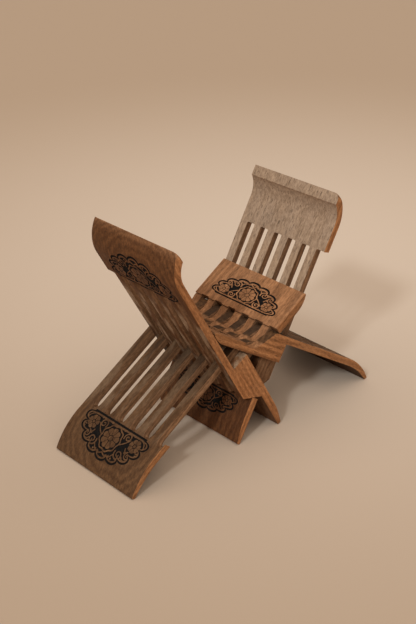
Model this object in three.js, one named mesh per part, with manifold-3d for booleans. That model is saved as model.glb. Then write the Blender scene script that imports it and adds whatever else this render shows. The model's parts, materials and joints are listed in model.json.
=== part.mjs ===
// Folding book stand carved from one plank, after the way a lauh is made.
//
// The plank is sawn into four layers. Two tall rest boards cross at the lower hinge, and two long
// leg boards cross at the upper hinge. Every board is a comb: its fingers pass through the slots of
// the board that it crosses, so the four boards hold each other with no pin, screw or glue.
//
// Millimetres, +Z up. The origin is on the floor under the hinges. +Y runs along the hinge axes.
import * as THREE from "three";
import { mergeVertices } from "three/addons/utils/BufferGeometryUtils.js";
import Module from "manifold-3d";

// The plank
const PLANK_WIDTH = 150;
const PLANK_LENGTH = 357;
const LAYER = 12; // a quarter of the plank's thickness
const SAW_CUT = 1; // what the saw takes between two layers
const OUTER_BOARD = 9.5; // the outer layers are dressed down to this on their inner side
const UPPER_HINGE_FROM_HEAD = 109.5;
const LOWER_HINGE_FROM_FOOT = 85.5;

// The comb of fingers and slots
const FINGERS = 12; // finger places across the width, shared by the two boards of a hinge
const CHEEK_GAP = 0.5; // clearance on each side of a finger

// The curved ends. The outer layers sweep in towards the plank's middle, where the inner layers stop
// short of them. A tip's depths are measured from the middle, on its outer and its inner side.
const HEAD_CURVE = 40;
const HEAD_LIP = 14; // end face of a head, where the two outer layers almost meet
const INNER_REST_CURVE = 22.5;
const INNER_REST_TIP = 2;
const FOOT_CURVE = 55;
const FOOT_LIP = 3;
const FOOT_DEPTHS = [7, 3];
const FOOT_SETBACK = 15.5;
const SHORT_FOOT_TIP = 5;

// The solid panels beyond the slats, measured from the board's tip
const REST_PANEL = 79.5;
const LEG_PANEL = 72;

// The three-layer blocks at the hinges. A rest's block ends under the leg board that leans over it.
const REST_BLOCK_GAP = 2.4;
const LEG_BLOCK = 46;
const BLOCK_HEEL = 5; // the block's slanted end passes this far beyond the hinge axis

// How far the boards lean from upright when the stand is open, and what is left between the
// surfaces that stop it there
const REST_LEAN = THREE.MathUtils.degToRad(29.8);
const LEG_LEAN = THREE.MathUtils.degToRad(57.8);
const STOP_GAP = 0.4;
const INNER_REST_GAP = 0.8;

const ARC_STEPS = 12;
const HALF_CUT = SAW_CUT / 2;
const OUTER_FACE = 2 * LAYER - HALF_CUT;
const PITCH = PLANK_WIDTH / FINGERS;
const INNER_FACE = OUTER_FACE - OUTER_BOARD;
const SHORT_FACE = LAYER - HALF_CUT; // outer side of an inner layer

const wasm = await Module();
wasm.setup();

function solidFrom(geometry) {
  const bare = geometry.index ? geometry.toNonIndexed() : geometry;
  bare.deleteAttribute("normal");
  bare.deleteAttribute("uv");
  const merged = mergeVertices(bare, 1e-4);
  return new wasm.Manifold(
    new wasm.Mesh({
      numProp: 3,
      vertProperties: merged.attributes.position.array,
      triVerts: new Uint32Array(merged.index.array),
    }),
  );
}

function geometryFrom(solid) {
  const mesh = solid.getMesh();
  const geometry = new THREE.BufferGeometry();
  geometry.setAttribute("position", new THREE.BufferAttribute(new Float32Array(mesh.vertProperties), 3));
  geometry.setIndex(new THREE.BufferAttribute(new Uint32Array(mesh.triVerts), 1));
  const faceted = geometry.toNonIndexed();
  faceted.computeVertexNormals();
  return faceted;
}

// An arc that leaves a face at depth `from` along the board and bends in to depth `to` over `run`.
function arcRadius(from, to, run) {
  const drop = Math.abs(to - from);
  return (run * run + drop * drop) / (2 * drop);
}

function bend(from, to, start, run) {
  const radius = arcRadius(from, to, run);
  const sweep = Math.asin(run / radius);
  const points = [];
  for (let i = 0; i <= ARC_STEPS; i += 1) {
    const angle = (sweep * i) / ARC_STEPS;
    const depth = from + Math.sign(to - from) * radius * (1 - Math.cos(angle));
    points.push(new THREE.Vector2(depth, start + radius * Math.sin(angle)));
  }
  return points;
}

// A board's side outline, in three parts. x is the depth from the plank's middle, and y runs from the
// hinge towards the board's long end. The long end lies in an outer layer (x < 0), the short end in
// the inner layer across the middle, and a block of three layers joins them.
function longEnd(board) {
  const start = board.longReach - board.longCurve;
  const outerArc = bend(-OUTER_FACE, -board.longDepths[0], start, board.longCurve);
  const innerArc = bend(-INNER_FACE, -board.longDepths[1], start, board.longCurve - board.longLip);
  return [new THREE.Vector2(-OUTER_FACE, OUTER_FACE - BLOCK_HEEL), ...outerArc, ...innerArc.reverse()];
}

function shortEnd(board) {
  const start = board.shortReach - board.shortCurve;
  const arc = bend(SHORT_FACE, HALF_CUT + board.shortTip, start, board.shortCurve);
  return [
    ...arc.map((point) => new THREE.Vector2(point.x, -point.y)),
    new THREE.Vector2(HALF_CUT, -board.shortReach),
    new THREE.Vector2(HALF_CUT, -HALF_CUT - BLOCK_HEEL),
  ];
}

function blockEnd(board) {
  return [new THREE.Vector2(-INNER_FACE, board.block), new THREE.Vector2(SHORT_FACE, board.block)];
}

// Height of the hinge that sets an end's lowest point on the floor, when that end leans this far.
function hingeHeight(end, towardsFloor, lean) {
  const drops = end.map((point) => point.y * Math.cos(lean) + point.x * Math.sin(lean));
  return Math.max(...drops.map((drop) => towardsFloor * drop));
}

// Where a board's slots end on its short side: the edge of the solid panel there meets the heel or
// the outer face of the board that it crosses, and so stops the opening.
function stopEdge(longReach, lean) {
  const heel = new THREE.Vector2(-HALF_CUT, -HALF_CUT - BLOCK_HEEL);
  const corner = new THREE.Vector2(OUTER_FACE, OUTER_FACE - BLOCK_HEEL);
  const tip = new THREE.Vector2(OUTER_FACE, longReach);
  const middle = new THREE.Vector2(0, 0);
  for (const point of [heel, corner, tip]) {
    point.rotateAround(middle, -2 * lean);
  }
  const [from, to] = corner.x > SHORT_FACE ? [heel, corner] : [corner, tip];
  const slope = (to.y - from.y) / (to.x - from.x);
  return STOP_GAP - from.y - slope * (SHORT_FACE - from.x);
}

// How far a rest's block reaches: its inner corner stays under the face of the leg board over it.
function restBlockReach(hingeSpread) {
  const turn = LEG_LEAN - REST_LEAN;
  const room = hingeSpread * Math.sin(LEG_LEAN) - SHORT_FACE * (1 + Math.cos(turn));
  return (room - REST_BLOCK_GAP) / Math.sin(turn);
}

// How far an inner rest reaches: its rounded tip ends just short of the tall rest's inner face.
function innerRestReach(hingeSpread) {
  const turn = LEG_LEAN - REST_LEAN;
  const radius = arcRadius(SHORT_FACE, HALF_CUT + INNER_REST_TIP, INNER_REST_CURVE);
  const face = INNER_FACE - INNER_REST_GAP + hingeSpread * Math.sin(REST_LEAN);
  const centre = (SHORT_FACE - radius) * Math.cos(turn);
  return INNER_REST_CURVE + (face - radius - centre) / Math.sin(turn);
}

const REST_BOARD = {
  longReach: PLANK_LENGTH - LOWER_HINGE_FROM_FOOT,
  longCurve: HEAD_CURVE,
  longLip: HEAD_LIP,
  longDepths: [HALF_CUT, HALF_CUT],
  panel: REST_PANEL,
  shortReach: LOWER_HINGE_FROM_FOOT - FOOT_SETBACK,
  shortCurve: FOOT_CURVE - FOOT_SETBACK,
  shortTip: SHORT_FOOT_TIP,
  lean: REST_LEAN,
};

const LEG_BOARD = {
  longReach: PLANK_LENGTH - UPPER_HINGE_FROM_HEAD,
  longCurve: FOOT_CURVE,
  longLip: FOOT_LIP,
  longDepths: FOOT_DEPTHS,
  panel: LEG_PANEL,
  shortCurve: INNER_REST_CURVE,
  shortTip: INNER_REST_TIP,
  block: LEG_BLOCK,
  lean: LEG_LEAN,
};

const lowerHinge = hingeHeight(shortEnd(REST_BOARD), -1, REST_LEAN);
const upperHinge = hingeHeight(longEnd(LEG_BOARD), 1, LEG_LEAN);
REST_BOARD.block = restBlockReach(upperHinge - lowerHinge);
LEG_BOARD.shortReach = innerRestReach(upperHinge - lowerHinge);

// side -1 puts the board's outer layer towards -X, and up 1 points its long end to +Z.
function placedOutline(board, side, up) {
  const outline = [...longEnd(board), ...blockEnd(board), ...shortEnd(board)];
  return outline.map((point) => new THREE.Vector2(-side * point.x, up * point.y));
}

function slotBox(board, side, up, place) {
  const low = -PLANK_WIDTH / 2 + place * PITCH - CHEEK_GAP - (place === 0 ? PITCH : 0);
  const high = -PLANK_WIDTH / 2 + (place + 1) * PITCH + CHEEK_GAP + (place === FINGERS - 1 ? PITCH : 0);
  const longEdge = board.longReach - board.panel;
  const shortEdge = stopEdge(board.longReach, board.lean);
  const box = new THREE.BoxGeometry(6 * LAYER, high - low, longEdge + shortEdge);
  box.translate(0, (low + high) / 2, (up * (longEdge - shortEdge)) / 2);
  return solidFrom(box);
}

// The comb board in its own frame: hinge axis at the origin, upright, fingers at every other place
// from firstFinger on.
function boardGeometry(board, side, up, firstFinger) {
  const shape = new THREE.Shape(placedOutline(board, side, up));
  const blank = new THREE.ExtrudeGeometry(shape, { depth: PLANK_WIDTH, bevelEnabled: false });
  blank.rotateX(Math.PI / 2);
  blank.translate(0, PLANK_WIDTH / 2, 0);
  let solid = solidFrom(blank);
  for (let place = 1 - firstFinger; place < FINGERS; place += 2) {
    solid = solid.subtract(slotBox(board, side, up, place));
  }
  return geometryFrom(solid);
}

const finish = { roughness: 0.62, metalness: 0 };
const restWood = new THREE.MeshStandardMaterial({ color: 0x8a6245, ...finish });
const legWood = new THREE.MeshStandardMaterial({ color: 0x96694a, ...finish });

// A board leans so that its top goes to its own side if its long end is up, and away from it if not.
function addBoard(group, name, board, side, up, hinge, firstFinger, material) {
  const mesh = new THREE.Mesh(boardGeometry(board, side, up, firstFinger), material);
  mesh.name = name;
  mesh.position.z = hinge;
  mesh.rotation.y = side * up * board.lean;
  group.add(mesh);
}

const stand = new THREE.Group();
addBoard(stand, "rest_board_left", REST_BOARD, -1, 1, lowerHinge, 0, restWood);
addBoard(stand, "rest_board_right", REST_BOARD, 1, 1, lowerHinge, 1, restWood);
addBoard(stand, "leg_board_left", LEG_BOARD, -1, -1, upperHinge, 1, legWood);
addBoard(stand, "leg_board_right", LEG_BOARD, 1, -1, upperHinge, 0, legWood);

export default stand;
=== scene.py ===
import json
import math

import bmesh
import bpy
import numpy as np
from mathutils import Matrix, Vector


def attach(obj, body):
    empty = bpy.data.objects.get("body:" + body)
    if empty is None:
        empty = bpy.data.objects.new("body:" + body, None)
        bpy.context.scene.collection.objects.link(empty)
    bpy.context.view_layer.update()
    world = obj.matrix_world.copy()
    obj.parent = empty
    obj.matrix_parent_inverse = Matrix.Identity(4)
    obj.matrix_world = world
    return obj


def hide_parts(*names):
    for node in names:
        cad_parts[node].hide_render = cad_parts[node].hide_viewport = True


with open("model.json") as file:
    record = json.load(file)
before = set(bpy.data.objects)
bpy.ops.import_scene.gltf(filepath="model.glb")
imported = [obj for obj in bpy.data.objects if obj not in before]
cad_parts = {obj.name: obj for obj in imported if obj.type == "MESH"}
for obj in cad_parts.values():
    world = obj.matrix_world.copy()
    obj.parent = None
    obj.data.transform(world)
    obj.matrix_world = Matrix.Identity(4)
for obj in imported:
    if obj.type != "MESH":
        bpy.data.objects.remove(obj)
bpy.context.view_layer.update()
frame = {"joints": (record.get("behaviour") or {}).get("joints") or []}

# A folding stand for a book, made of four comb boards that are sawn and carved out of one plank.
# Outlines and tools are given in millimetres in a board's own frame, and their meshes are in metres.
# In that frame x is the depth from the plank's middle, y runs across the board, and z runs along it
# from its hinge towards its long end.
MM = 0.001

# The plank, as the frame has it
PLANK_WIDTH = 150.0
PLANK_LENGTH = 357.0
LAYER = 12.0
HALF_CUT = 0.5
OUTER_BOARD = 9.5
UPPER_HINGE_FROM_HEAD = 109.5
LOWER_HINGE_FROM_FOOT = 85.5
FINGERS = 12
CHEEK_GAP = 0.5
PITCH = PLANK_WIDTH / FINGERS
OUTER_FACE = 2 * LAYER - HALF_CUT
INNER_FACE = OUTER_FACE - OUTER_BOARD
SHORT_FACE = LAYER - HALF_CUT
BLOCK_HEEL = 5.0
FOOT_SETBACK = 15.5
REST_LEAN = math.radians(29.8)
LEG_LEAN = math.radians(57.8)

# Hand finish
ARRIS = 0.7  # width of the eased edges
ARRIS_SEGMENTS = 3
ARRIS_ANGLE = 30  # degrees; a blunter edge isn't eased
ARC_STEPS = 36
CORNER_STEPS = 8
HEEL_SLANT = 45  # degrees between a finger's slanted end and the outer face
FLAT = 0.99999  # a face this square to the board's axes is shaded flat
SHARP = 32  # degrees between faces that meet in a sharp edge
WORN_CORNER = 9.0  # the heads' worn corner on the near side
WORN_STEPS = 12
LINE_DEPTH = 0.7  # of the carved lines
HOLLOW_STEPS = 16
HOLLOW_FULLNESS = 0.7  # power of the hollow's curve; a lower one is fuller at its ends
HOLLOW_STEP = 2.4  # height of the panel's edge over the hollowed fingers
HOLLOW_STRIP = 1.5  # flat strip between the hollowed fingers and the panel
SLOT_TAPER = 18.0  # length over which a slot's end goes from square to slanted
THROUGH = 3 * LAYER  # how far a tool reaches on each side of the plank's middle

joints = {joint["name"]: joint for joint in frame["joints"]}
LOWER_HINGE = Vector(joints["rest_fold"]["pos_m"])
UPPER_HINGE = Vector(joints["leg_fold"]["pos_m"])


class Board:
    """Sizes of one kind of board. Its long end lies in an outer layer, its short end in an inner one."""

    def __init__(self, hinge, lean, long_end, short_end, block, heel_round, hollow, slots, slot_end,
                 carvings):
        self.hinge = hinge
        self.lean = lean
        self.long_reach, self.long_curve, self.long_lip, self.long_depths = long_end
        self.short_reach, self.short_curve, self.short_tip = short_end
        self.block = block
        self.heel_round = heel_round
        self.hollow = hollow
        self.slot_top, self.slot_bottom = slots
        self.slot_round, self.slot_slant = slot_end
        self.carvings = carvings
        self.has_head = self.long_lip > LAYER


def bend(start_depth, end_depth, start, run):
    """Points of an arc that leaves a face along the board and bends in to another depth."""
    drop = abs(end_depth - start_depth)
    radius = (run * run + drop * drop) / (2 * drop)
    sweep = math.asin(run / radius)
    turn = math.copysign(1, end_depth - start_depth)
    points = []
    for step in range(ARC_STEPS + 1):
        angle = sweep * step / ARC_STEPS
        points.append((start_depth + turn * radius * (1 - math.cos(angle)), start + radius * math.sin(angle)))
    return points


def outer_profile(board):
    """The long end's outer face, from the heel to the tip."""
    start = board.long_reach - board.long_curve
    arc = bend(-OUTER_FACE, -board.long_depths[0], start, board.long_curve)
    return [(-OUTER_FACE, OUTER_FACE - BLOCK_HEEL)] + arc


def short_profile(board):
    """The short end's face away from the plank's middle, from the block to the tip."""
    start = board.short_reach - board.short_curve
    arc = bend(SHORT_FACE, HALF_CUT + board.short_tip, start, board.short_curve)
    return [(SHORT_FACE, board.block)] + [(x, -z) for x, z in arc]


def middle_profile(board):
    """The short end's face on the plank's middle, from the heel to the tip. The fingers are hollowed
    between the hinge and the panel."""
    heel = HALF_CUT + BLOCK_HEEL
    points = [(HALF_CUT, -heel)]
    reach = board.slot_bottom - HOLLOW_STRIP - heel
    if board.hollow:
        for step in range(1, HOLLOW_STEPS + 1):
            share = step / HOLLOW_STEPS
            depth = board.hollow * math.sin(math.pi * share) ** HOLLOW_FULLNESS
            if share > 0.5:
                depth = max(depth, HOLLOW_STEP)
            points.append((HALF_CUT + depth, -heel - reach * share))
        points.append((HALF_CUT, -heel - reach))
    return points + [(HALF_CUT, -board.short_reach)]


def heel_corner(board):
    """The rounded corner where a finger's slanted end meets the outer face."""
    radius = board.heel_round
    inset = radius * math.tan(math.radians(HEEL_SLANT / 2))
    middle = (-OUTER_FACE + radius, OUTER_FACE - BLOCK_HEEL + inset)
    points = []
    for step in range(CORNER_STEPS + 1):
        angle = math.radians(180 + HEEL_SLANT - HEEL_SLANT * step / CORNER_STEPS)
        points.append((middle[0] + radius * math.cos(angle), middle[1] + radius * math.sin(angle)))
    return points


def outline(board):
    start = board.long_reach - board.long_curve
    inner = bend(-INNER_FACE, -board.long_depths[1], start, board.long_curve - board.long_lip)
    inner.reverse()
    around = heel_corner(board) + outer_profile(board)[1:] + inner + [(-INNER_FACE, board.block)]
    return around + short_profile(board) + middle_profile(board)[::-1]


# ---------------------------------------------------------------- meshes

def object_from(name, mesh):
    piece = bpy.data.objects.new(name, mesh)
    bpy.context.scene.collection.objects.link(piece)
    return piece


def extruded(name, corners, along):
    """A closed solid: a flat outline's corners, run along a direction. Both are in millimetres."""
    form = bmesh.new()
    face = form.faces.new([form.verts.new(Vector(corner) * MM) for corner in corners])
    run = bmesh.ops.extrude_face_region(form, geom=[face])
    moved = [part for part in run["geom"] if isinstance(part, bmesh.types.BMVert)]
    bmesh.ops.translate(form, verts=moved, vec=Vector(along) * MM)
    bmesh.ops.recalc_face_normals(form, faces=form.faces)
    mesh = bpy.data.meshes.new(name)
    form.to_mesh(mesh)
    form.free()
    return object_from(name, mesh)


def prism(name, points, low, high):
    """A solid with an (x, z) outline that runs across the board."""
    return extruded(name, [(x, low, z) for x, z in points], (0, high - low, 0))


def block_along_x(name, points, low, high):
    """A solid with a (y, z) outline that runs through the board's thickness."""
    return extruded(name, [(low, y, z) for y, z in points], (high - low, 0, 0))


def settle(piece):
    """Makes the object's evaluated shape its plain mesh."""
    graph = bpy.context.evaluated_depsgraph_get()
    mesh = bpy.data.meshes.new_from_object(piece.evaluated_get(graph), depsgraph=graph)
    piece.modifiers.clear()
    old = piece.data
    piece.data = mesh
    bpy.data.meshes.remove(old)


def cut(piece, tool):
    """Takes the tool's solid out of the piece. The cut faces take the tool's finish."""
    knife = piece.modifiers.new("cut", "BOOLEAN")
    knife.operation = "DIFFERENCE"
    knife.solver = "MANIFOLD"
    knife.object = tool
    settle(piece)
    bpy.data.objects.remove(tool)


def comb_tree():
    """Geometry nodes that saw evenly spaced slots out of a blank, with one slot's solid as the tool."""
    tree = bpy.data.node_groups.new("saw_comb", "GeometryNodeTree")
    face = tree.interface
    face.new_socket("Blank", in_out="INPUT", socket_type="NodeSocketGeometry")
    face.new_socket("Slot tool", in_out="INPUT", socket_type="NodeSocketObject")
    face.new_socket("Slots", in_out="INPUT", socket_type="NodeSocketInt")
    face.new_socket("First slot", in_out="INPUT", socket_type="NodeSocketFloat")
    face.new_socket("Slot spacing", in_out="INPUT", socket_type="NodeSocketFloat")
    face.new_socket("Finish", in_out="INPUT", socket_type="NodeSocketMaterial")
    face.new_socket("Comb", in_out="OUTPUT", socket_type="NodeSocketGeometry")
    nodes, links = tree.nodes, tree.links
    given = nodes.new("NodeGroupInput")
    start = nodes.new("ShaderNodeCombineXYZ")
    step = nodes.new("ShaderNodeCombineXYZ")
    row = nodes.new("GeometryNodeMeshLine")
    tool = nodes.new("GeometryNodeObjectInfo")
    tool.inputs["As Instance"].default_value = False
    copies = nodes.new("GeometryNodeInstanceOnPoints")
    solid = nodes.new("GeometryNodeRealizeInstances")
    saw = nodes.new("GeometryNodeMeshBoolean")
    saw.operation = "DIFFERENCE"
    saw.solver = "MANIFOLD"
    finish = nodes.new("GeometryNodeSetMaterial")
    result = nodes.new("NodeGroupOutput")
    links.new(given.outputs["First slot"], start.inputs["Y"])
    links.new(given.outputs["Slot spacing"], step.inputs["Y"])
    links.new(given.outputs["Slots"], row.inputs["Count"])
    links.new(start.outputs["Vector"], row.inputs["Start Location"])
    links.new(step.outputs["Vector"], row.inputs["Offset"])
    links.new(given.outputs["Slot tool"], tool.inputs["Object"])
    links.new(row.outputs["Mesh"], copies.inputs["Points"])
    links.new(tool.outputs["Geometry"], copies.inputs["Instance"])
    links.new(copies.outputs["Instances"], solid.inputs["Geometry"])
    links.new(given.outputs["Blank"], saw.inputs["Mesh 1"])
    links.new(solid.outputs["Geometry"], saw.inputs["Mesh 2"])
    links.new(saw.outputs["Mesh"], finish.inputs["Geometry"])
    links.new(given.outputs["Finish"], finish.inputs["Material"])
    links.new(finish.outputs["Geometry"], result.inputs["Comb"])
    return tree


def slot_tool(board):
    """One slot's solid, centred on y = 0. Its end has round corners and goes on the slant through the
    board's thickness, further on the outer face."""
    half = PITCH / 2 + CHEEK_GAP
    radius = board.slot_round
    points = [(-half, -board.slot_bottom), (-half, board.slot_top - SLOT_TAPER)]
    for turn, side in ((math.pi, -1), (math.pi / 2, 1)):
        centre = side * (half - radius)
        for step in range(CORNER_STEPS + 1):
            angle = turn - step * math.pi / (2 * CORNER_STEPS)
            drop = radius * (1 - math.sin(angle))
            points.append((centre + radius * math.cos(angle), board.slot_top - drop))
    points += [(half, board.slot_top - SLOT_TAPER), (half, -board.slot_bottom)]
    tool = block_along_x("slot tool", points, -THROUGH, THROUGH)
    for corner in tool.data.vertices:
        share = 1 + (corner.co.z / MM - board.slot_top) / SLOT_TAPER
        lift = board.slot_slant * (-corner.co.x / MM - INNER_FACE) / OUTER_BOARD
        corner.co.z += max(share, 0) * max(lift, -board.slot_slant) * MM
    return tool


def saw_slots(piece, board, first_slot, tree, finish):
    tool = slot_tool(board)
    comb = piece.modifiers.new("comb", "NODES")
    comb.node_group = tree
    values = {
        "Slot tool": tool,
        "Slots": FINGERS // 2,
        "First slot": (-PLANK_WIDTH / 2 + (first_slot + 0.5) * PITCH) * MM,
        "Slot spacing": 2 * PITCH * MM,
        "Finish": finish,
    }
    for item in tree.interface.items_tree:
        if item.in_out == "INPUT" and item.name in values:
            comb[item.identifier] = values[item.name]
    settle(piece)
    bpy.data.objects.remove(tool)


def ease_edges(piece):
    arris = piece.modifiers.new("arris", "BEVEL")
    arris.width = ARRIS * MM
    arris.segments = ARRIS_SEGMENTS
    arris.limit_method = "ANGLE"
    arris.angle_limit = math.radians(ARRIS_ANGLE)
    arris.use_clamp_overlap = True
    settle(piece)


def corner_tool(board):
    """What has worn off a head's corner: a block less a quarter round, at the near side of the tip."""
    radius = WORN_CORNER
    side, tip = -PLANK_WIDTH / 2, board.long_reach
    points = [(side - radius, tip + radius), (side - radius, tip - radius), (side, tip - radius)]
    for step in range(1, WORN_STEPS):
        angle = math.pi - step * math.pi / (2 * WORN_STEPS)
        points.append((side + radius + radius * math.cos(angle), tip - radius + radius * math.sin(angle)))
    points += [(side + radius, tip), (side + radius, tip + radius)]
    return block_along_x("corner tool", points, -THROUGH, THROUGH)


# ---------------------------------------------------------------- ornament

# The motif is drawn in millimetres, from the middle of its straight side. A carving scales it.
FIELD_STEP = 0.4  # between the carving's samples
MOTIF_HALF = 58.0  # half width
MOTIF_HEIGHT = 50.0
MOTIF_RISE = 9.0  # from the straight side to the widest place
MOTIF_LOBES = 8
MOTIF_SCALLOP = 0.13  # how far the rim dips between lobes, as a share of its reach
MOTIF_CORNER = 6.0  # radius where the rim meets the straight side
RIM_SLOPES = (1 / 70, 1 / 30)  # the rim's reach rises at a rate within these, per millimetre
OUTER_LINE = 2.7  # width of the line that follows the rim
GROUND_EDGE = 5.0  # from the rim to the cut ground inside it

BLOOM = (0, 21)  # the middle flower
BLOOM_RADIUS = 13.5
BLOOM_PETALS = 9
WREATH_RADIUS = 16.2  # the scalloped ring about it
WREATH_SCALLOP = 0.7
WREATH_HALF = 1.0
SIDE_BLOOM = (39, 14.5)
SIDE_BLOOM_RADIUS = 9.0
SIDE_BLOOM_PETALS = 7
SIDE_BLOOM_TURN = 0.3
PETAL_NOTCH = 0.2  # how far a flower's edge dips between petals, as a share of its radius
PETAL_CUT = 0.42  # half width of the cut between two petals
CUTS_FROM = 0.3  # share of the radius where those cuts begin
BOSS = 0.27  # share of the radius where the cut round the boss runs
BOSS_CUT = 0.4  # half width of that cut
STANDING = 1.0  # a level well clear of any cut

# centre, radius, turns, start angle in degrees, hand, width and end width
SCROLLS = (
    ((24.5, 32.5), 7.2, 1.55, 200, -1, 2.0, 1.3),
    ((23.0, 10.0), 6.2, 1.5, 150, 1, 2.0, 1.2),
    ((38.0, 29.0), 5.2, 1.4, 250, -1, 1.8, 1.2),
    ((49.0, 24.0), 3.6, 1.3, 230, 1, 1.6, 1.1),
    ((8.5, 42.0), 4.2, 1.3, 320, 1, 1.7, 1.1),
)
SCROLL_STEPS = 46
SCROLL_CLOSE = 0.86  # share of its radius that a scroll winds in by
# start, bend, end, width and end width
STEMS = (
    ((0, 39.5), (10, 47), (17.5, 35), 1.8, 1.4),
    ((17, 22), (22, 20), (29, 11), 1.8, 1.2),
    ((31, 33), (34, 38), (40, 34), 1.6, 1.1),
    ((29.5, 22), (31, 27), (34, 25), 1.8, 1.3),
    ((12, 5), (6, 3), (0, 5.5), 1.7, 1.1),
    ((44.5, 4.5), (50, 6), (51.5, 12), 1.7, 1.2),
    ((30, 5), (34, 3.5), (38, 4.4), 1.6, 1.1),
)
STEM_STEPS = 22
BEADS = ((31.5, 26.8), (45.5, 33.0), (16.5, 41.0), (15.2, 3.6), (33.0, 20.0), (51.0, 17.6))
BEAD_RADIUS = 1.35

WALL_SLOPE = 1.7  # steepness of a cut line's walls
WOOD_CLEAR = 0.25  # between the carving tool and the wood that is left standing
TOOL_RISE = 2.0  # how far the tool stands above the face
TOOL_MARGIN = 1.0  # and past the motif on every side
SLOPE_PROBE = 0.2  # distance each way over which a profile's slope is measured


def spiral(centre, radius, turns, start, hand):
    """Points of a scroll that winds in from its start angle."""
    share = np.linspace(0, 1, SCROLL_STEPS)
    reach = radius * (1 - SCROLL_CLOSE * share)
    angle = start + hand * share * turns * 2 * math.pi
    return np.stack([centre[0] + reach * np.cos(angle), centre[1] + reach * np.sin(angle)], 1)


def sweep(start, middle, end):
    """Points of a quadratic curve."""
    share = np.linspace(0, 1, STEM_STEPS)[:, None]
    points = [np.array(point, float) for point in (start, middle, end)]
    return (1 - share) ** 2 * points[0] + 2 * share * (1 - share) * points[1] + share ** 2 * points[2]


def near_path(u, v, path, width, end_width):
    """How far inside a tapering stroke each point is; negative outside."""
    best = np.full(u.shape, -1e3)
    widths = np.linspace(width, end_width, len(path))
    for (ax, ay), (bx, by), half in zip(path[:-1], path[1:], widths):
        dx, dy = bx - ax, by - ay
        share = np.clip(((u - ax) * dx + (v - ay) * dy) / (dx * dx + dy * dy + 1e-9), 0, 1)
        gap = np.hypot(u - ax - share * dx, v - ay - share * dy)
        best = np.maximum(best, half / 2 - gap)
    return best


def flower(u, v, centre, radius, petals, turn):
    """Round petals about a boss, parted by thin cuts. Positive where wood stands."""
    du, dv = u - centre[0], v - centre[1]
    reach = np.hypot(du, dv)
    angle = np.arctan2(dv, du) + turn
    lobe = np.abs(np.cos(petals * angle / 2))
    edge = radius * (1 - PETAL_NOTCH + PETAL_NOTCH * np.sqrt(lobe)) - reach
    cuts = lobe * reach * math.pi / petals - PETAL_CUT
    cuts = np.where(reach < CUTS_FROM * radius, STANDING, cuts)
    ring = np.abs(reach - BOSS * radius) - BOSS_CUT
    return np.minimum(np.minimum(edge, cuts), ring)


def wreath(u, v):
    du, dv = u - BLOOM[0], v - BLOOM[1]
    scallop = WREATH_SCALLOP * np.cos(BLOOM_PETALS * np.arctan2(dv, du) + math.pi)
    return WREATH_HALF - np.abs(np.hypot(du, dv) - WREATH_RADIUS - scallop)


def motif_height(u, v):
    """The carving's level over the motif's plane: above zero stands wood, below zero a cut line."""
    high = MOTIF_HEIGHT - MOTIF_RISE
    angle = np.arctan2((v - MOTIF_RISE) / high, u / MOTIF_HALF)
    lobe = np.abs(np.cos(MOTIF_LOBES * (angle - math.pi / 2)))
    rim = 1 - MOTIF_SCALLOP * (1 - np.sqrt(lobe))
    reach = np.hypot(u / MOTIF_HALF, (v - MOTIF_RISE) / high) / rim
    slope_v, slope_u = np.gradient(reach, FIELD_STEP)
    edge = (reach - 1) / np.clip(np.hypot(slope_u, slope_v), *RIM_SLOPES)
    corner = np.hypot(np.maximum(edge + MOTIF_CORNER, 0), np.maximum(MOTIF_CORNER - v, 0)) - MOTIF_CORNER
    edge = np.where(v < MOTIF_CORNER, np.maximum(corner, np.maximum(edge, -v)), edge)
    outline_line = OUTER_LINE / 2 - np.abs(edge + OUTER_LINE / 2)
    ground = -(edge + GROUND_EDGE)
    strokes = [(spiral(centre, radius, turns, math.radians(start), hand), width, end_width)
               for centre, radius, turns, start, hand, width, end_width in SCROLLS]
    strokes += [(sweep(start, middle, end), width, end_width)
                for start, middle, end, width, end_width in STEMS]
    wood = flower(u, v, BLOOM, BLOOM_RADIUS, BLOOM_PETALS, math.pi / 2)
    wood = np.maximum(wood, wreath(u, v))
    for side in (-1, 1):
        about = side * u
        side_bloom = flower(about, v, SIDE_BLOOM, SIDE_BLOOM_RADIUS, SIDE_BLOOM_PETALS, SIDE_BLOOM_TURN)
        wood = np.maximum(wood, side_bloom)
        for path, width, end_width in strokes:
            wood = np.maximum(wood, near_path(about, v, path, width, end_width))
        for centre in BEADS:
            wood = np.maximum(wood, BEAD_RADIUS - np.hypot(about - centre[0], v - centre[1]))
    cut_depth = np.maximum(outline_line, np.minimum(ground, -wood))
    return -cut_depth


def along_profile(profile, start, distance):
    """Point and outward direction on a profile, at a distance along it past where it is `start` from
    the hinge."""
    points = np.array(profile)
    steps = np.hypot(*np.diff(points, axis=0).T)
    run = np.concatenate([[0], np.cumsum(steps)])
    rising = points[:, 1] * np.sign(points[-1, 1])
    place = np.interp(start, rising, run) + distance
    x = np.interp(place, run, points[:, 0])
    z = np.interp(place, run, points[:, 1])
    before, after = place - SLOPE_PROBE, place + SLOPE_PROBE
    slope_x = np.interp(after, run, points[:, 0]) - np.interp(before, run, points[:, 0])
    slope_z = np.interp(after, run, points[:, 1]) - np.interp(before, run, points[:, 1])
    length = np.hypot(slope_x, slope_z)
    return x, z, slope_z / length, -slope_x / length


def use_cut_finish(mesh, finish):
    """Puts a tool's faces in the second material slot, where a board keeps the finish of its cuts."""
    mesh.materials.append(finish)
    mesh.materials.append(finish)
    mesh.polygons.foreach_set("material_index", np.ones(len(mesh.polygons), np.int32))


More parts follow.
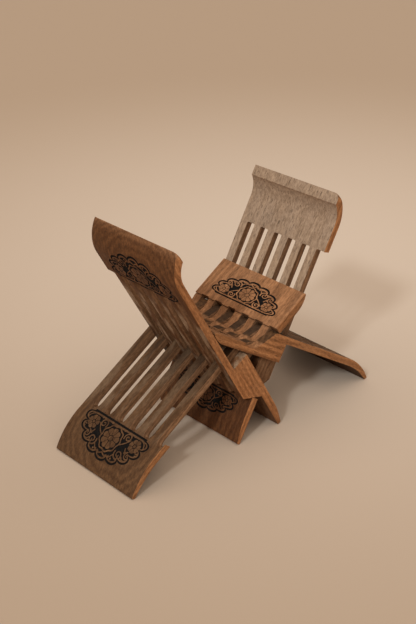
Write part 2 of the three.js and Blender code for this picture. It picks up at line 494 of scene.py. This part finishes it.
def carving_tool(profile, start, half_width, height, outward, finish):
    """The solid that carves the motif: level with the cut lines below, clear of the face above."""
    far_side = half_width + TOOL_MARGIN
    across = np.arange(-far_side, far_side + FIELD_STEP / 2, FIELD_STEP)
    up = np.arange(-TOOL_MARGIN, height + TOOL_MARGIN + FIELD_STEP / 2, FIELD_STEP)
    v, u = np.meshgrid(up, across, indexing="ij")
    level = motif_height(u * MOTIF_HALF / half_width, v * MOTIF_HEIGHT / height)
    bottom = np.clip(level * WALL_SLOPE, -LINE_DEPTH, WOOD_CLEAR)
    x, z, nx, nz = along_profile(profile, start, up)
    sign = 1 if (nx.mean() > 0) == (outward > 0) else -1
    x, z, nx, nz = x[:, None], z[:, None], sign * nx[:, None], sign * nz[:, None]
    rise = np.full(u.shape, TOOL_RISE)
    lower = np.stack([x + nx * bottom, u, z + nz * bottom], -1)
    upper = np.stack([x + nx * rise, u, z + nz * rise], -1)
    points = np.concatenate([lower.reshape(-1, 3), upper.reshape(-1, 3)]) * MM
    lift = u.size
    index = np.arange(lift).reshape(u.shape)
    quads = np.stack([index[:-1, :-1], index[:-1, 1:], index[1:, 1:], index[1:, :-1]], -1).reshape(-1, 4)
    top = quads[:, ::-1] + lift
    rim = np.concatenate([index[0, :-1], index[:-1, -1], index[-1, :0:-1], index[:0:-1, 0]])
    following = np.roll(rim, -1)
    walls = np.stack([rim, rim + lift, following + lift, following], -1)
    faces = np.concatenate([quads, top, walls])
    mesh = bpy.data.meshes.new("carving tool")
    mesh.from_pydata(points.tolist(), [], faces.tolist())
    form = bmesh.new()
    form.from_mesh(mesh)
    bmesh.ops.recalc_face_normals(form, faces=form.faces)
    form.to_mesh(mesh)
    form.free()
    use_cut_finish(mesh, finish)
    return object_from("carving tool", mesh)


# ---------------------------------------------------------------- finishes

def link_math(tree, operation, first, second=None, third=None, clamp=False):
    node = tree.nodes.new("ShaderNodeMath")
    node.operation = operation
    node.use_clamp = clamp
    for slot, value in enumerate((first, second, third)):
        if value is None:
            continue
        if isinstance(value, (int, float)):
            node.inputs[slot].default_value = value
        else:
            tree.links.new(value, node.inputs[slot])
    return node.outputs[0]


def ramp(tree, value, stops):
    node = tree.nodes.new("ShaderNodeValToRGB")
    elements = node.color_ramp.elements
    while len(elements) < len(stops):
        elements.new(0.5)
    for element, (place, colour) in zip(elements, stops):
        element.position = place
        element.color = (*colour, 1)
    tree.links.new(value, node.inputs[0])
    return node.outputs["Color"]


def mix(tree, factor, first, second, blend="MIX"):
    node = tree.nodes.new("ShaderNodeMix")
    node.data_type = "RGBA"
    node.blend_type = blend
    if isinstance(factor, (int, float)):
        node.inputs[0].default_value = factor
    else:
        tree.links.new(factor, node.inputs[0])
    for slot, value in ((6, first), (7, second)):
        if isinstance(value, tuple):
            node.inputs[slot].default_value = (*value, 1)
        else:
            tree.links.new(value, node.inputs[slot])
    return node.outputs[2]


def noise(tree, vector, scale, detail=4.0, roughness=0.55):
    node = tree.nodes.new("ShaderNodeTexNoise")
    node.inputs["Scale"].default_value = scale
    node.inputs["Detail"].default_value = detail
    node.inputs["Roughness"].default_value = roughness
    tree.links.new(vector, node.inputs["Vector"])
    return node.outputs["Fac"]


def stretched(tree, vector, scale, shift=(0, 0, 0)):
    node = tree.nodes.new("ShaderNodeMapping")
    node.inputs["Scale"].default_value = scale
    node.inputs["Location"].default_value = shift
    tree.links.new(vector, node.inputs["Vector"])
    return node.outputs[0]


def band(tree, value, low, high):
    node = tree.nodes.new("ShaderNodeMapRange")
    node.interpolation_type = "SMOOTHSTEP"
    node.inputs["From Min"].default_value = low
    node.inputs["From Max"].default_value = high
    tree.links.new(value, node.inputs["Value"])
    return node.outputs[0]


def add_bump(tree, shader, relief, strength, distance):
    bump = tree.nodes.new("ShaderNodeBump")
    bump.inputs["Strength"].default_value = strength
    bump.inputs["Distance"].default_value = distance
    tree.links.new(relief, bump.inputs["Height"])
    tree.links.new(bump.outputs[0], shader.inputs["Normal"])


def facing(tree, normal, direction):
    node = tree.nodes.new("ShaderNodeVectorMath")
    node.operation = "DOT_PRODUCT"
    node.inputs[1].default_value = direction
    tree.links.new(normal, node.inputs[0])
    return node.outputs["Value"]


# Noises that are drawn out along the grain: how often they repeat per metre in x, y and z, detail
# and roughness
FIBRE = ((300, 300, 24), 5, 0.62)
STREAK = ((60, 60, 5), 4, 0.6)
PORES = ((900, 900, 110), 2, 0.5)
PATCH = ((22, 22, 11), 4, 0.6)
RUBBING = ((70, 70, 22), 3, 0.6)
MOTTLE = ((420, 420, 170), 5, 0.7)
SPECK_SCALE = 1500

# Growth rings, in metres
PITH_DEPTH = 0.085  # from the plank's middle
RING_SPACING = 0.0062
RING_WANDER = 0.035
RING_DRIFT = 0.006
RING_WEIGHT = 0.20  # against the fibre's
FIBRE_WEIGHT = 0.80

# Where a tone or a mark starts and is full, in metres along the board from its hinge
SHORT_END = (0.002, -0.002)
# where the inner face's painted shade near the hinge starts and is full
INNER_SHADE_NEAR_HINGE = (0.095, 0.060)
# where the outer face darkens in patches towards the hinge
NEAR_HINGE_DARKENING = (0.125, 0.055)
SLATS_BEGIN = (0.030, 0.060)
SLATS_STOP = (0.190, 0.165)
RIM = (0.0728, 0.0740)  # and out from its middle, past the walls of the slots

# Which way a face has to look, as the cosine to that direction
SIDEWAYS = (0.6, 0.85)
OUTWARD = (0.35, 0.7)
INWARD = (-0.35, -0.7)

# What the marks multiply the wood's tone by, or their own colour
DARKER = (0.62, 0.56, 0.50)
LIGHTER = (1.22, 1.20, 1.18)
GREYER = (0.94, 1.00, 1.10)
DUSTIER = (1.7, 1.8, 1.95)
MOTTLE_LOW = (0.80, 0.78, 0.76)
MOTTLE_HIGH = (1.19, 1.21, 1.23)
PORE_BROWN = (0.035, 0.02, 0.012)
NEAR_HINGE_BROWN = (0.030, 0.017, 0.010)

# How strongly they show
STREAK_SHARE = 0.65
PORE_SHARE = 0.62
RUBBED_SHARE = 0.75
NEAR_HINGE_SHARE = 0.7


def drawn(tree, grain, pattern):
    stretch, detail, roughness = pattern
    return noise(tree, stretched(tree, grain, stretch), 1.0, detail, roughness)


def times(tree, first, second):
    return link_math(tree, "MULTIPLY", first, second)


def plus(tree, first, second):
    return link_math(tree, "ADD", first, second)


def growth_rings(tree, grain):
    """Rings round a pith that lies outside the board and wanders along it."""
    wander = noise(tree, stretched(tree, grain, (1, 1, 0.35)), 9, 2)
    drift = noise(tree, stretched(tree, grain, (6, 6, 1)), 14, 3)
    parts = tree.nodes.new("ShaderNodeSeparateXYZ")
    tree.links.new(grain, parts.inputs[0])
    x = plus(tree, parts.outputs["X"], times(tree, wander, RING_WANDER))
    x_squared = link_math(tree, "POWER", plus(tree, x, PITH_DEPTH), 2.0)
    y_squared = link_math(tree, "POWER", parts.outputs["Y"], 2.0)
    reach = link_math(tree, "SQRT", plus(tree, x_squared, y_squared))
    reach = plus(tree, reach, times(tree, drift, RING_DRIFT))
    rings = link_math(tree, "SINE", times(tree, reach, 2 * math.pi / RING_SPACING))
    return link_math(tree, "MULTIPLY_ADD", rings, 0.5, 0.5)


def oiled_wood(name, hinge, turn, up, outward, shift, tones):
    """Open-grained hardwood. Its grain runs along the board, and each way that a face looks has a tone
    of its own. The outer face has one for the long end and one for the short end, and the inner face
    has one away from the hinge and one near it. The tone near the hinge is painted shade, and a leg's
    two inner tones are both painted shade."""
    material = bpy.data.materials.new(name)
    material.use_nodes = True
    tree = material.node_tree
    shader = tree.nodes["Principled BSDF"]
    place = tree.nodes.new("ShaderNodeTexCoord")
    local = tree.nodes.new("ShaderNodeMapping")
    local.vector_type = "TEXTURE"
    local.inputs["Location"].default_value = hinge
    local.inputs["Rotation"].default_value = (0, turn, 0)
    tree.links.new(place.outputs["Object"], local.inputs["Vector"])
    grain = stretched(tree, local.outputs[0], (1, 1, 1), shift)

    rings = growth_rings(tree, grain)
    fibre = drawn(tree, grain, FIBRE)
    streak = drawn(tree, grain, STREAK)
    pores = band(tree, drawn(tree, grain, PORES), 0.60, 0.70)
    speck = band(tree, noise(tree, grain, SPECK_SCALE, 2, 0.5), 0.62, 0.74)
    patch = drawn(tree, grain, PATCH)

    side_way = link_math(tree, "ABSOLUTE", facing(tree, place.outputs["Normal"], (0, 1, 0)))
    outer_way = facing(tree, place.outputs["Normal"], outward)
    on_side = band(tree, side_way, *SIDEWAYS)
    on_outer = band(tree, outer_way, *OUTWARD)
    on_inner = band(tree, outer_way, *INWARD)

    along = tree.nodes.new("ShaderNodeSeparateXYZ")
    tree.links.new(local.outputs[0], along.inputs[0])
    height = times(tree, along.outputs["Z"], up)
    on_short = band(tree, height, *SHORT_END)
    in_inner_shade = band(tree, height, *INNER_SHADE_NEAR_HINGE)
    on_rim = band(tree, link_math(tree, "ABSOLUTE", along.outputs["Y"]), *RIM)
    base = mix(tree, on_outer, tones["sawn"], mix(tree, on_short, *tones["outer"]))
    # painted shade: the inner face takes a darker tone near the hinge and on the short end
    base = mix(tree, on_inner, base, mix(tree, in_inner_shade, *tones["inner"]))
    base = mix(tree, on_side, base, mix(tree, on_rim, tones["wall"], tones["side"]))

    dark = mix(tree, 1.0, base, DARKER, "MULTIPLY")
    light = mix(tree, 1.0, base, LIGHTER, "MULTIPLY")
    figure = plus(tree, times(tree, rings, RING_WEIGHT), times(tree, fibre, FIBRE_WEIGHT))
    colour = mix(tree, band(tree, figure, 0.28, 0.72), dark, light)
    colour = mix(tree, times(tree, band(tree, streak, 0.48, 0.75), STREAK_SHARE), colour, dark)
    calm = link_math(tree, "SUBTRACT", tones["calm"], on_short)
    calm = link_math(tree, "MULTIPLY", on_inner, calm, clamp=True)
    colour = mix(tree, calm, colour, base)
    greyed = times(tree, band(tree, patch, 0.42, 0.68), tones["grey"])
    colour = mix(tree, greyed, colour, mix(tree, 1.0, base, GREYER, "MULTIPLY"))
    colour = mix(tree, times(tree, pores, PORE_SHARE), colour, PORE_BROWN)
    # handling has worn the slats paler in patches
    on_slats = times(tree, band(tree, height, *SLATS_BEGIN), band(tree, height, *SLATS_STOP))
    rubbed = band(tree, drawn(tree, grain, RUBBING), 0.42, 0.60)
    rubbed = times(tree, rubbed, link_math(tree, "SUBTRACT", on_slats, on_side, clamp=True))
    colour = mix(tree, times(tree, rubbed, RUBBED_SHARE), colour, tones["rubbed"])
    # and the outer face is darker in patches towards the hinge
    near_hinge_dark = times(tree, times(tree, band(tree, height, *NEAR_HINGE_DARKENING), on_outer), band(tree, patch, 0.36, 0.60))
    near_hinge_dark = times(tree, near_hinge_dark, link_math(tree, "SUBTRACT", NEAR_HINGE_SHARE, on_short, clamp=True))
    colour = mix(tree, near_hinge_dark, colour, NEAR_HINGE_BROWN)
    mottle = band(tree, drawn(tree, grain, MOTTLE), 0.36, 0.64)
    colour = mix(tree, 1.0, colour, mix(tree, mottle, MOTTLE_LOW, MOTTLE_HIGH), "MULTIPLY")
    dust = mix(tree, 1.0, base, DUSTIER, "MULTIPLY")
    colour = mix(tree, times(tree, speck, tones["speck"]), colour, dust)
    tree.links.new(colour, shader.inputs["Base Color"])

    rough = link_math(tree, "MULTIPLY_ADD", fibre, 0.30, tones["rough"])
    tree.links.new(rough, shader.inputs["Roughness"])
    shader.inputs["Specular IOR Level"].default_value = 0.16

    relief = plus(tree, times(tree, fibre, 0.6), times(tree, pores, -0.7))
    relief = plus(tree, relief, times(tree, streak, 0.7))
    add_bump(tree, shader, relief, 0.55, 0.0005)
    return material


def line_paint(name, low, high, roughness):
    """What fills the cut lines: a thin dark stain that lets a little of the wood through."""
    material = bpy.data.materials.new(name)
    material.use_nodes = True
    tree = material.node_tree
    shader = tree.nodes["Principled BSDF"]
    place = tree.nodes.new("ShaderNodeTexCoord")
    thin = noise(tree, place.outputs["Object"], 420, 4, 0.6)
    colour = ramp(tree, thin, [(0.35, low), (0.75, high)])
    tree.links.new(colour, shader.inputs["Base Color"])
    rough = link_math(tree, "MULTIPLY_ADD", thin, 0.2, roughness)
    tree.links.new(rough, shader.inputs["Roughness"])
    shader.inputs["Specular IOR Level"].default_value = 0.08
    add_bump(tree, shader, thin, 0.3, 0.0002)
    return material


# An outer face's two tones are the long end's and the short end's. An inner face's are the one away
# from the hinge and the one near it. The one near the hinge is painted shade, and a leg's two inner
# tones are both painted shade, dark as if its underside lay in shadow.
REST_TONES = {
    "outer": ((0.124, 0.050, 0.018), (0.150, 0.070, 0.032)),
    # the second inner tone, near the hinge, is painted shade
    "inner": ((0.345, 0.238, 0.160), (0.106, 0.040, 0.014)),
    "sawn": (0.270, 0.128, 0.058),
    "side": (0.385, 0.168, 0.066),
    "wall": (0.215, 0.112, 0.056),
    "grey": 0.40,
    "speck": 0.40,
    "rubbed": (0.350, 0.235, 0.150),
    "calm": 0.60,
    "rough": 0.50,
}
LEG_TONES = {
    "outer": ((0.104, 0.050, 0.021), (0.300, 0.142, 0.064)),
    # both inner tones are painted shade, for the legs' shadowed undersides
    "inner": ((0.075, 0.036, 0.017), (0.140, 0.070, 0.034)),
    "sawn": (0.200, 0.100, 0.048),
    "side": (0.355, 0.160, 0.065),
    "wall": (0.250, 0.135, 0.070),
    "grey": 0.40,
    "speck": 0.45,
    "rubbed": (0.155, 0.092, 0.051),
    "calm": 0.30,
    "rough": 0.52,
}


# ---------------------------------------------------------------- boards

def make_board(name, node, body, board, side, up, first_slot, tones, shift):
    """Blank, slots, eased edges and carving, in the board's frame; then its place in the stand."""
    turn = side * up * board.lean
    place = Matrix.Translation(board.hinge) @ Matrix.Rotation(turn, 4, "Y")
    outward = place.to_3x3() @ Vector((side, 0, 0))
    wood = oiled_wood(f"oiled hardwood {name}", board.hinge, turn, up, outward, shift, tones)
    piece = prism(name, outline(board), -PLANK_WIDTH / 2, PLANK_WIDTH / 2)
    saw_slots(piece, board, first_slot, comb, wood)
    if board.has_head:
        cut(piece, corner_tool(board))
    ease_edges(piece)
    piece.data.materials.clear()
    piece.data.materials.append(wood)
    piece.data.materials.append(stain)
    for profile, start, half_width, height, faces in board.carvings:
        cut(piece, carving_tool(profile(board), start, half_width, height, faces, stain))
    for polygon in piece.data.polygons:
        polygon.use_smooth = max(abs(part) for part in polygon.normal) < FLAT
    mirror = Matrix.Diagonal((-side, 1, up, 1))
    piece.data.transform(place @ mirror)
    if mirror.determinant() < 0:
        piece.data.flip_normals()
    piece.data.set_sharp_from_angle(angle=math.radians(SHARP))
    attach(piece, body)
    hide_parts(node)


comb = comb_tree()
stain = line_paint("black line stain", (0.004, 0.004, 0.004), (0.014, 0.011, 0.009), 0.8)

rest_board = Board(
    hinge=LOWER_HINGE,
    lean=REST_LEAN,
    long_end=(PLANK_LENGTH - LOWER_HINGE_FROM_FOOT, 40.0, 14.0, (HALF_CUT, HALF_CUT)),
    short_end=(LOWER_HINGE_FROM_FOOT - FOOT_SETBACK, 55.0 - FOOT_SETBACK, 5.0),
    block=70.0,
    heel_round=2.0,
    hollow=0,
    slots=(192.0, 7.05),
    slot_end=(1.6, 4.0),
    carvings=(
        (outer_profile, 198.5, 60.0, 54.0, -1),
        (short_profile, 15.0, 56.0, 36.0, 1),
    ),
)
leg_board = Board(
    hinge=UPPER_HINGE,
    lean=LEG_LEAN,
    long_end=(PLANK_LENGTH - UPPER_HINGE_FROM_HEAD, 55.0, 3.0, (7.0, 3.0)),
    short_end=(92.05, 22.5, 2.0),
    block=46.0,
    heel_round=9.0,
    hollow=4.0,
    slots=(164.0, 31.95),
    slot_end=(5.6, 9.5),
    carvings=(
        (outer_profile, 180.5, 59.0, 53.0, -1),
        (middle_profile, 41.5, 58.0, 37.0, -1),
    ),
)

make_board("left_rest_board", "rest_board_left", "left_rest", rest_board, side=-1, up=1, first_slot=1,
           tones=REST_TONES, shift=(0.011, 0.004, 0.02))
make_board("right_rest_board", "rest_board_right", "right_rest", rest_board, side=1, up=1, first_slot=0,
           tones=REST_TONES, shift=(-0.02, -0.012, 0.31))
make_board("left_leg_board", "leg_board_left", "left_leg", leg_board, side=-1, up=-1, first_slot=0,
           tones=LEG_TONES, shift=(0.005, 0.015, 0.62))
make_board("right_leg_board", "leg_board_right", "right_leg", leg_board, side=1, up=-1, first_slot=1,
           tones=LEG_TONES, shift=(-0.01, -0.02, 0.97))


# ---------------------------------------------------------------- stage

FLOOR_HALF = 30.0
# The floor's colours carry a painted pool of light, palest at its centre and darker out to its reach.
LIGHT_POOL_CENTRE = (0.45, 0.25, 0)  # centre of a pool of light painted on the floor
LIGHT_POOL_REACH = 1.25
FLOOR_IN_LIGHT_POOL = (0.62, 0.50, 0.40)
FLOOR_OUT_OF_LIGHT_POOL = (0.43, 0.315, 0.225)
CAMERA_PLACE = (-0.931, -0.983, 0.8325)
CAMERA_TILT = 63.23  # degrees up from straight down
CAMERA_HEADING = -42.8  # degrees about the vertical, from looking along +Y


def studio_floor():
    """A plain flat floor with a painted pool of light: paler towards one place, darker away from it."""
    mesh = bpy.data.meshes.new("floor")
    corners = [(x * FLOOR_HALF, y * FLOOR_HALF, 0) for x, y in ((-1, -1), (1, -1), (1, 1), (-1, 1))]
    mesh.from_pydata(corners, [], [(0, 1, 2, 3)])
    floor = object_from("floor", mesh)
    material = bpy.data.materials.new("warm plaster")
    material.use_nodes = True
    tree = material.node_tree
    shader = tree.nodes["Principled BSDF"]
    place = tree.nodes.new("ShaderNodeTexCoord")
    away = tree.nodes.new("ShaderNodeVectorMath")
    away.operation = "DISTANCE"
    away.inputs[1].default_value = LIGHT_POOL_CENTRE
    tree.links.new(place.outputs["Object"], away.inputs[0])
    # painted pool of light: the floor's colour is paler near its centre and darker away from it
    colour = mix(tree, band(tree, away.outputs["Value"], 0.0, LIGHT_POOL_REACH), FLOOR_IN_LIGHT_POOL, FLOOR_OUT_OF_LIGHT_POOL)
    tree.links.new(colour, shader.inputs["Base Color"])
    shader.inputs["Roughness"].default_value = 0.85
    shader.inputs["Specular IOR Level"].default_value = 0.15
    floor.data.materials.append(material)


def soft_sun(name, towards, strength, spread, colour):
    """A studio light from far off, softened over a spread in degrees."""
    data = bpy.data.lights.new(name, "SUN")
    data.energy = strength
    data.angle = math.radians(spread)
    data.color = colour
    lamp = bpy.data.objects.new(name, data)
    lamp.rotation_euler = Vector(towards).to_track_quat("Z", "Y").to_euler()
    bpy.context.scene.collection.objects.link(lamp)


def camera():
    data = bpy.data.cameras.new("camera")
    data.lens = 68.4
    data.sensor_width = 36
    eye = bpy.data.objects.new("camera", data)
    eye.location = CAMERA_PLACE
    eye.rotation_euler = (math.radians(CAMERA_TILT), 0, math.radians(CAMERA_HEADING))
    bpy.context.scene.collection.objects.link(eye)
    bpy.context.scene.camera = eye


def surroundings():
    """A little warm light from all round."""
    world = bpy.data.worlds.new("studio")
    world.use_nodes = True
    backdrop = world.node_tree.nodes["Background"]
    backdrop.inputs["Color"].default_value = (1.0, 0.85, 0.71, 1)
    backdrop.inputs["Strength"].default_value = 0.30
    bpy.context.scene.world = world
    bpy.context.scene.view_settings.view_transform = "Standard"


studio_floor()
surroundings()
soft_sun("key", towards=(-0.737, -0.306, 0.60), strength=1.1, spread=6, colour=(0.86, 0.95, 1.0))
soft_sun("overhead", towards=(-0.25, -0.20, 0.95), strength=2.0, spread=110, colour=(1.0, 0.92, 0.83))
camera()
